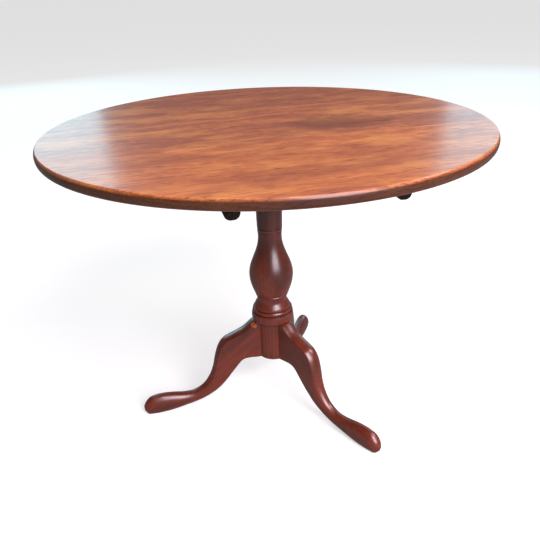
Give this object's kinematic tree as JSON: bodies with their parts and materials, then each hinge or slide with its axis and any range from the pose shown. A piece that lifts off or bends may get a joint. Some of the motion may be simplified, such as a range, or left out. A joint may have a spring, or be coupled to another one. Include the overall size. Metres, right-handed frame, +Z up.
{
  "type": "tilt top table",
  "caption": "Round mahogany tilt-top table on a turned baluster column with curved legs; the top hinges on a block to stand upright, held down by a brass bolt.",
  "frame": {"origin": "on the floor, on the column's axis, with the top down", "axes": "+Z up; +X along the top's grain and the tilt hinge; +Y towards the catch, the side of the top that rises"},
  "size_m": [0.96, 0.9599, 0.7105],
  "materials": {
    "top_mahogany": "polished mahogany, orange-brown, French polish",
    "base_mahogany": "waxed mahogany, red-brown, satin gloss",
    "dark_mahogany": "stained underside timber, near black, matt",
    "maple": "turned maple, unfinished",
    "pellet_wood": "light orange-brown end grain, waxed",
    "steel_screws": "blued steel, slotted heads",
    "forged_iron": "forged iron, black scale",
    "catch_brass": "aged brass, rubbed bright on edges",
    "brass_screws": "aged brass, slotted heads",
    "spring_steel": "blued spring steel"
  },
  "bodies": {
    "base": {"pivot_block": "dark_mahogany", "pivot_pin_left": "maple", "pivot_pin_right": "maple", "column": "base_mahogany", "tenon_wedge": "maple", "leg_left": "base_mahogany", "leg_front_right": "base_mahogany", "leg_back_right": "base_mahogany", "leg_pellet": "pellet_wood", "leg_screw": "steel_screws", "brace_plate": "forged_iron", "brace_screws": "steel_screws", "keeper_plate": "catch_brass", "keeper_screws": "brass_screws"},
    "top": {"top_board_front": "top_mahogany", "top_board_middle": "top_mahogany", "top_board_back": "top_mahogany", "batten_left": "dark_mahogany", "batten_right": "dark_mahogany", "batten_screws": "steel_screws", "catch_plate": "catch_brass", "catch_leaf_spring": "spring_steel", "catch_screws": "brass_screws"},
    "catch_bolt": {"catch_bolt": "catch_brass", "catch_knob": "catch_brass"}
  },
  "joints": [
    {"name": "top_tilt", "type": "hinge", "parent": "base", "child": "top", "pos_m": [0, -0.076, 0.6696], "axis": [1, 0, 0], "range_deg": [0, 90]},
    {"name": "catch_slide", "type": "slide", "parent": "top", "child": "catch_bolt", "axis": [0, -1, 0], "range_m": [0, 0.012]}
  ]
}
